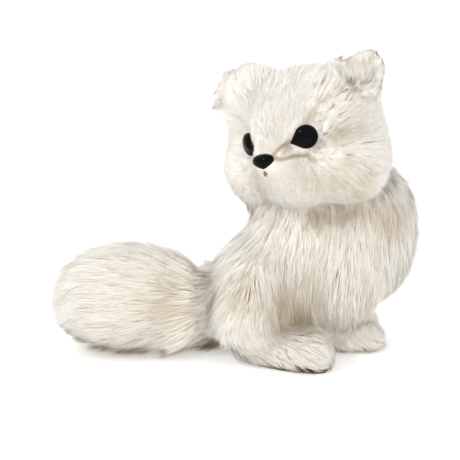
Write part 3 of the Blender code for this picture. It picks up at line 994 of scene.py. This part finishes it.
def build_strands(name, tri, share, clump, lift, thin=1.0):
    """One coat piece, with its colour values, bake patches and shading normals."""
    path, up = strand_paths(tri, share, clump, lift)
    keep = clear_of_face(path) & (path[:, 0, 2] > 1.0 * MM)
    path, up, tri, share = path[keep], up[keep], tri[keep], share[keep]
    path = np.stack([path[:, 0], 0.5 * (path[:, 1] + path[:, 2]), path[:, 3]], 1)
    count = len(path)
    along = unit(np.gradient(path, axis=1))
    across = unit(np.cross(along, up[:, None]))
    half = 0.5 * thin * on_skin(width, tri, share) * rng.uniform(0.75, 1.25, count)
    verts = strand_points(path, across, np.cross(across, along), half)
    mesh = strand_mesh(name, verts)
    mesh.uv_layers.new(name="OFBake").uv.foreach_set("vector", patch_map(tri, share).ravel())
    colour = np.ones((count, len(ALONG), 4))
    colour[:, :, 0] = ALONG
    colour[:, :, 1] = rng.random(count)[:, None]
    of_head, under = (np.repeat(on_skin(v, tri, share), len(ALONG)) for v in (head_share, underside_shade))
    colour[:, :, 2:] = marks_at(verts.reshape(-1, 3), of_head, under).reshape(count, -1, 2)
    set_marks(mesh, colour)
    mesh.polygons.foreach_set("use_smooth", np.ones(len(mesh.polygons), bool))
    mesh.validate()
    round_middle = unit(verts[:, 1:4] - path[:, 1:2])
    own = np.concatenate([-along[:, :1], round_middle, along[:, -1:]], 1)
    of_coat = np.array(COAT_NORMAL)[None, :, None] * (on_skin(soft, tri, share)[:, None] * up)[:, None]
    mesh.normals_split_custom_set_from_vertices(unit(own + of_coat).reshape(-1, 3).tolist())
    piece = bpy.data.objects.new(name, mesh)
    bpy.context.scene.collection.objects.link(piece)
    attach(piece, "root")
    print(name, count, "strands,", len(mesh.polygons), "triangles")
    return piece


print("ready to grow the coat")

# %% [markdown]
# ## The coat's pieces
# The coat is cut into pieces by region, so that none grows too heavy to handle. Clump says how strongly
# the strands are drawn in to their lock: short hair on the paws and ears clumps more than the long fur of
# the tail.

# %% What each piece covers
CLOSE = 1.0
COAT = {  # piece: regions, strands, clump
    "coat_face_left": (["muzzle", "head"], 28000, 0.25),
    "coat_face_right": (["muzzle", "head"], 28000, 0.25),
    "coat_crown": (["head"], 23000, 0.25),
    "coat_nape": (["head"], 12000, 0.35),
    "coat_ears": (["ear"], 15000, 0.35),
    "coat_neck": (["neck"], 15000, 0.2),
    "coat_breast": (["trunk"], 14000, 0.2),
    "coat_back": (["trunk"], 18000, 0.2),
    "coat_thighs": (["thigh"], 16000, 0.2),
    "coat_forelegs": (["foreleg"], 10000, 0.35),
    "coat_paws": (["forepaw", "hindpaw"], 17000, 0.3),
    "coat_tail_right": (["tail"], 20000, 0.12),
    "coat_tail_left": (["tail"], 13000, 0.12),
}
FACE_REACH, CROWN_REACH = 46 * MM, 72 * MM  # from the nose's tip
middle = corners.mean(1)
tri_region = regions[tri_points[:, 0]]
nose_far = np.linalg.norm(middle - NOSE_TIP, axis=1)
on_left = in_frame(middle, HEAD)[:, 1] >= 0
HALF = {
    "coat_face_left": (nose_far < FACE_REACH) & on_left,
    "coat_face_right": (nose_far < FACE_REACH) & ~on_left,
    "coat_crown": (nose_far >= FACE_REACH) & (nose_far < CROWN_REACH),
    "coat_nape": nose_far >= CROWN_REACH,
    "coat_breast": middle[:, 0] >= 0.018,
    "coat_back": middle[:, 0] < 0.018,
    "coat_tail_right": middle[:, 1] < 0.004,
    "coat_tail_left": middle[:, 1] >= 0.004,
}
print(len(COAT), "pieces and the wisps")

# %% [markdown]
# The tail's blunt end gets up to about twice as many strands, as the coat fans out there. Wisps are a
# thin scatter of finer strands that stand a little proud everywhere and break up the outline.

# %% Grow the coat
WISPS = 19000
thick = 1 + 1.2 * tail_end[tri_points[:, 0]]
coat = []
for name, (where, count, clump) in COAT.items():
    inside = np.isin(tri_region, [REGIONS.index(r) for r in where]) & HALF.get(name, True)
    tri, share = scatter(int(count * CLOSE), tri_area * inside * thick)
    pull = np.clip(rng.normal(clump, 0.12, len(tri)), 0, 0.95)
    lift = np.abs(rng.normal(0, 0.03, len(tri))) * on_skin(length, tri, share)
    coat.append(build_strands(name, tri, share, pull, lift))
tri, share = scatter(int(WISPS * CLOSE), tri_area / np.sqrt(length[tri_points].mean(1)))
pull = rng.uniform(0, 0.2, len(tri))
lift = rng.uniform(0.05, 0.40, len(tri)) * on_skin(length, tri, share)
coat.append(build_strands("coat_wisps", tri, share, pull, lift, thin=0.55))
print("coat:", sum(len(piece.data.polygons) for piece in coat), "triangles")

# %% [markdown]
# ## The coat's colour
# The pelt is white, a little warmer towards the roots. Its cream and brown marks, painted shade among them,
# are laid over that by multiplying, so the lightest hairs stay lightest. Each hair has a tone of its own.

# %% Colour of the pelt
ROOT_WHITE, TIP_WHITE = "#EDE2CC", "#F9F5ED"
# cream and brown, used for the pelt's own marks and for painted shade
CREAM_AND_SHADE, BROWN_AND_SHADE = "#D9CFBC", "#A89468"
ROOT_ENDS = 0.7  # a hair has its tip's colour from here on


def pelt_colour(tree, variation):
    """White fur with its cream and brown marks and painted shade, read from the coat values."""
    values = add_node(tree, "Attribute", {"attribute_name": "coat"})
    split = add_node(tree, "SeparateColor", Color=values.outputs["Color"])
    along = add_node(tree, "MapRange", Value=split.outputs["Red"], From_Max=ROOT_ENDS)
    shade = add_node(
        tree, "MixRGB", Fac=along.outputs["Result"], Color1=linear(ROOT_WHITE), Color2=linear(TIP_WHITE)
    )
    tone = add_node(tree, "MapRange", Value=split.outputs["Green"], To_Min=1 - variation, To_Max=1.0)
    # cream and brown, partly painted shade, multiplied over the white
    layers = ((split.outputs["Blue"], linear(CREAM_AND_SHADE)), (values.outputs["Alpha"], linear(BROWN_AND_SHADE)))
    for amount, multiplier in (*layers, (1.0, tone.outputs["Result"])):
        shade = add_node(
            tree, "MixRGB", {"blend_type": "MULTIPLY"}, Fac=amount, Color1=shade.outputs["Color"], Color2=multiplier
        )
    return shade.outputs["Color"]


print("pelt from", ROOT_WHITE, "at the root to", TIP_WHITE, "at the tip")

# %% [markdown]
# The coat is bleached rabbit pelt. Fine hair scatters light, so it is rough to the eye, with a faint
# sheen where light grazes it. The hide under it is tanned leather: matt, with a fine grain of about 1 mm,
# and coloured like the coat, painted shade included, so that where it shows between hairs it looks like more
# coat.

# %% Fur and hide
fur, tree, shader = new_material(
    "bleached_rabbit_pelt", Roughness=0.75, Specular_IOR_Level=0.2, Sheen_Weight=0.2, Sheen_Roughness=0.6
)
tree.links.new(pelt_colour(tree, 0.05), shader.inputs["Base Color"])
for piece in coat:
    wear(piece, fur)

hide, tree, shader = new_material("tanned_pelt_hide", Roughness=0.8, Specular_IOR_Level=0.2)
place = add_node(tree, "TexCoord")
grain = add_node(tree, "TexNoise", Vector=place.outputs["Object"], Scale=per_metre(1.11), Detail=3.0)
bump = add_node(tree, "Bump", Height=grain.outputs["Fac"], Strength=0.4, Distance=0.4 * MM)
tree.links.new(pelt_colour(tree, 0.0), shader.inputs["Base Color"])
tree.links.new(bump.outputs["Normal"], shader.inputs["Normal"])
wear(skin, hide)
# coat and hide carry the markings' painted shade
print("coat and hide dyed")

# %% [markdown]
# ## Eyes and nose
# They are moulded in black plastic and polished. The polish leaves a mirror-like face with only a trace
# of the mould's unevenness, a few millimetres across, so highlights are small and sharp. The plastic
# is so dark that a low specular keeps its faces black.

# %% Polished plastic
polish, tree, shader = new_material("polished_black_abs", Specular_IOR_Level=0.09)
place = add_node(tree, "TexCoord")
mould = add_node(tree, "TexNoise", Vector=place.outputs["Object"], Scale=per_metre(2.86), Detail=2.0)
rough = add_node(tree, "MapRange", Value=mould.outputs["Fac"], To_Min=0.01, To_Max=0.03)
tree.links.new(rough.outputs["Result"], shader.inputs["Roughness"])
shader.inputs["Base Color"].default_value = linear("#030203")
print("plastic polished")

# %% [markdown]
# Each is one smooth dome with no flat facets, so it starts as a fine sphere, and a rule for its points
# gives it its shape: a shallow teardrop for an eye, and for the nose a rounded kite, flat on top and
# drawn in to a soft point below. The mesh is then put in its place on the head.

# %% Eyes and nose
EYE_BULGE = 4.3 * MM
NOSE_WIDE, NOSE_HIGH, NOSE_DEEP = 7.5 * MM, 4.6 * MM, 5.0 * MM  # half sizes
KITE_TOP, KITE_FOOT = 2.2, 1.5  # 2 would be round, and 1 a straight-sided kite


def glossy_dome(name, replaced, place, shape):
    """A polished piece: a fine sphere shaped by a rule for its points, put in its place on the head."""
    bpy.ops.object.select_all(action="DESELECT")
    bpy.ops.mesh.primitive_uv_sphere_add(segments=96, ring_count=48, radius=1)
    dome = bpy.context.object
    dome.name = name
    place_points(dome, shape(read(dome.data.vertices, "co", 3)))
    dome.data.transform(place)
    bpy.ops.object.shade_smooth()
    wear(dome, polish)
    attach(dome, "root")
    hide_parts(replaced)


def teardrop(name):
    def shape(points):
        reach = eye_reach(points[:, 1], points[:, 2], name)
        return points * np.stack([np.full(len(points), EYE_BULGE), reach, reach], 1)

    return shape


def nose_shape(points):
    lean = np.abs(points[:, 1:]) / np.maximum(np.linalg.norm(points[:, 1:], axis=1, keepdims=True), 1e-9)
    kite = np.where(points[:, 2] < 0, KITE_FOOT, KITE_TOP)[:, None]
    pull = (lean**kite).sum(1, keepdims=True) ** (-1 / kite)
    across = NOSE_WIDE * (0.96 + 0.10 * points[:, 2:])
    return points * np.hstack([np.full_like(pull, NOSE_DEEP), pull * across, pull * NOSE_HIGH])


for name in SIDES:
    glossy_dome(f"bead_{name}", f"eye_{name}", EYE_LOOK[name], teardrop(name))
glossy_dome("nose_button", "nose", HEAD @ Matrix.Translation(NOSE), nose_shape)
print("beads and button in place")

# %% [markdown]
# ## Toe pads
# Two small dark pads show under the toes of each hind paw. They are moulded rubber, dull and soft
# edged, with a fine grain. Each is a flattened ball, set a little under the fur's edge and turned with
# the paw. The right paw's places are mirrored for the left.

# %% Toe pads
PAD_HALF = Vector((1.9, 4.0, 1.0)) * MM
PAD_INWARD = 2.6  # mm
PAD_TURN = radians(12)
rubber, tree, shader = new_material("black_rubber", Roughness=0.5)
place = add_node(tree, "TexCoord")
grain = add_node(tree, "TexNoise", Vector=place.outputs["Object"], Scale=per_metre(0.667))
black = add_node(
    tree, "MixRGB", Fac=grain.outputs["Fac"], Color1=linear("#0C0A09"), Color2=linear("#241E1A")
)
tree.links.new(black.outputs["Color"], shader.inputs["Base Color"])
toe_places = [(side, x, y, z) for side in SIDES.values() for x, y, z in TOES]
for number, (side, x, y, z) in enumerate(toe_places):
    bpy.ops.object.select_all(action="DESELECT")
    bpy.ops.mesh.primitive_uv_sphere_add(segments=32, ring_count=16, radius=1)
    toe = bpy.context.object
    toe.name = f"toe_{number}"
    lay = Matrix.Rotation(PAD_TURN * side, 4, "Z") @ Matrix.Diagonal((*PAD_HALF, 1))
    toe.data.transform(Matrix.Translation(Vector((x, (y + PAD_INWARD) * side, z)) * MM) @ lay)
    bpy.ops.object.shade_smooth()
    wear(toe, rubber)
    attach(toe, "root")
print("toe pads:", len(toe_places))

# %% [markdown]
# ## Mouth
# The mouth is a short stitch of waxed thread. Wax dulls and darkens it, and its twist shows as fine
# bands, about 1 mm apart.

# %% Mouth
thread, tree, shader = new_material("brown_waxed_thread", Roughness=0.75)
place = add_node(tree, "TexCoord")
twist = add_node(tree, "TexWave", Vector=place.outputs["Object"], Scale=per_metre(1.11), Distortion=2.0)
brown = add_node(
    tree, "MixRGB", Fac=twist.outputs["Fac"], Color1=linear("#6E4A35"), Color2=linear("#A07A5C")
)
tree.links.new(brown.outputs["Color"], shader.inputs["Base Color"])
wear(nodes["mouth"], thread)
print("mouth stitched")

# %% [markdown]
# ## Soles
# The soles are dark brown calf leather. Its pores, a little under a millimetre apart, are darker than the
# rest and slightly sunk, which breaks up its low shine. A packed hind sole is set in under the fur. On
# the toy its cut edge shows as a dark line below the paw, so a copy of it is spread to the coat's edge.

# %% Soles
SOLE_SPREAD = (1.13, 1.42, 1.0)
leather, tree, shader = new_material("brown_calf_leather", Roughness=0.55)
place = add_node(tree, "TexCoord")
pores = add_node(tree, "TexVoronoi", Vector=place.outputs["Object"], Scale=per_metre(0.909))
bump = add_node(tree, "Bump", Height=pores.outputs["Distance"], Strength=0.3, Distance=0.2 * MM)
brown = add_node(
    tree, "MixRGB", Fac=pores.outputs["Distance"], Color1=linear("#33261A"), Color2=linear("#54402C")
)
tree.links.new(brown.outputs["Color"], shader.inputs["Base Color"])
tree.links.new(bump.outputs["Normal"], shader.inputs["Normal"])
for name in nodes:
    if name.startswith("sole"):
        wear(nodes[name], leather)
for name in SIDES:
    bpy.ops.object.select_all(action="DESELECT")
    bpy.context.view_layer.objects.active = nodes[f"sole_hind_{name}"]
    nodes[f"sole_hind_{name}"].select_set(True)
    bpy.ops.object.duplicate()
    rim = bpy.context.object
    rim.parent = None
    rim.name = f"sole_rim_{name}"
    flat = read(rim.data.vertices, "co", 3)
    centre = (flat.min(0) + flat.max(0)) / 2 * [1, 1, 0]
    place_points(rim, centre + (flat - centre) * SOLE_SPREAD)
    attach(rim, "root")
    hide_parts(f"sole_hind_{name}")
print("soles cut")

# %% [markdown]
# ## Seat
# The base under the rump is covered with white wool felt: matt, with the faint mottling of pressed
# fibres, under a millimetre across.

# %% Seat
felt, tree, shader = new_material("white_wool_felt", Roughness=0.95)
place = add_node(tree, "TexCoord")
fibre = add_node(tree, "TexNoise", Vector=place.outputs["Object"], Scale=per_metre(0.714), Detail=4.0)
white = add_node(
    tree, "MixRGB", Fac=fibre.outputs["Fac"], Color1=linear("#D8D2C6"), Color2=linear("#EFEBE3")
)
tree.links.new(white.outputs["Color"], shader.inputs["Base Color"])
wear(nodes["seat_plate"], felt)
print("seat covered")
